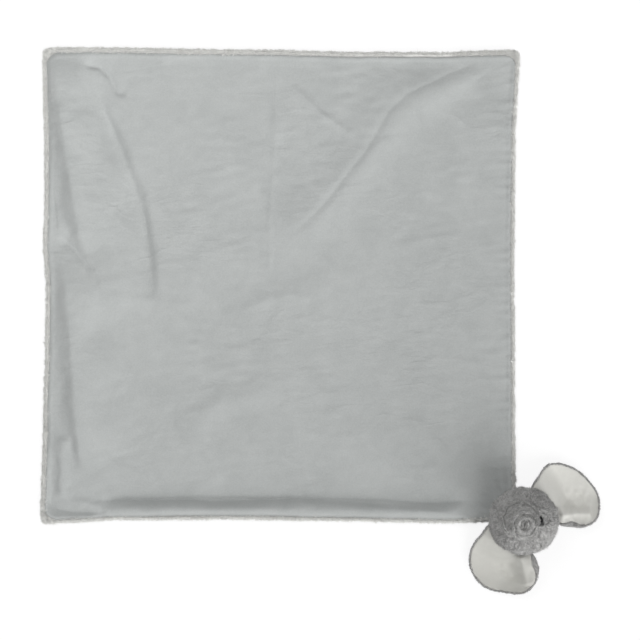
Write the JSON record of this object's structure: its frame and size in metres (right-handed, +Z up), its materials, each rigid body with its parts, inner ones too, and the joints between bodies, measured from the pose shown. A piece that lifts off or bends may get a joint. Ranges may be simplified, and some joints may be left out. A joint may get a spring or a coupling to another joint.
{
  "type": "comfort blanket",
  "caption": "Square two-layer plush comfort blanket laid flat, with a small stuffed elephant head sewn to one corner; its head folds over, its ears flop and its trunk bends.",
  "frame": {"origin": "middle of the blanket's underside, where it lies on a surface", "axes": "+Z up out of the smooth side, +X along the blanket's lower edge towards the corner with the head, +Y away from the head's corner along the side edge"},
  "size_m": [0.5884, 0.5794, 0.1047],
  "materials": {
    "short_pile": "light grey short-pile plush, brushed, with a soft mottled sheen",
    "long_pile": "light grey long-pile plush, fluffy and matt",
    "head_plush": "mid-grey shaggy plush, matt",
    "ear_velour": "off-white velour, smooth and matt",
    "fibre_filling": "white polyester fibre",
    "sewing_thread": "grey polyester thread",
    "eye_thread": "black satin-stitch embroidery"
  },
  "bodies": {
    "blanket": {"blanket_back": "long_pile", "blanket_front": "short_pile", "edge_seam": "sewing_thread"},
    "head": {"corner_back": "long_pile", "corner_front": "short_pile", "head_side_right": "head_plush", "head_side_left": "head_plush", "head_gusset": "head_plush", "chin_panel": "head_plush", "head_stuffing": "fibre_filling", "neck_stitch": "sewing_thread", "eye_right": "eye_thread", "eye_left": "eye_thread"},
    "trunk": {"trunk_skin": "head_plush", "trunk_stuffing": "fibre_filling"},
    "ear_right": {"ear_right_back": "head_plush", "ear_right_front": "ear_velour"},
    "ear_left": {"ear_left_back": "head_plush", "ear_left_front": "ear_velour"}
  },
  "joints": [
    {"name": "head_fold", "type": "hinge", "parent": "blanket", "child": "head", "pos_m": [0.23104, -0.22204, 0.0092], "axis": [-0.7071, -0.7071, 0], "range_deg": [0, 90]},
    {"name": "trunk_bend", "type": "hinge", "parent": "head", "child": "trunk", "pos_m": [0.24943, -0.24043, 0.05775], "axis": [0.7071, 0.7071, 0], "range_deg": [-20, 20], "stiffness_Nm_per_rad": 0.03},
    {"name": "ear_right_flop", "type": "hinge", "parent": "head", "child": "ear_right", "pos_m": [0.28595, -0.2305, 0.0245], "axis": [0.5, -0.866, 0], "range_deg": [0, 95]},
    {"name": "ear_left_flop", "type": "hinge", "parent": "head", "child": "ear_left", "pos_m": [0.2395, -0.27694, 0.0245], "axis": [-0.866, 0.5, 0], "range_deg": [0, 95]}
  ]
}
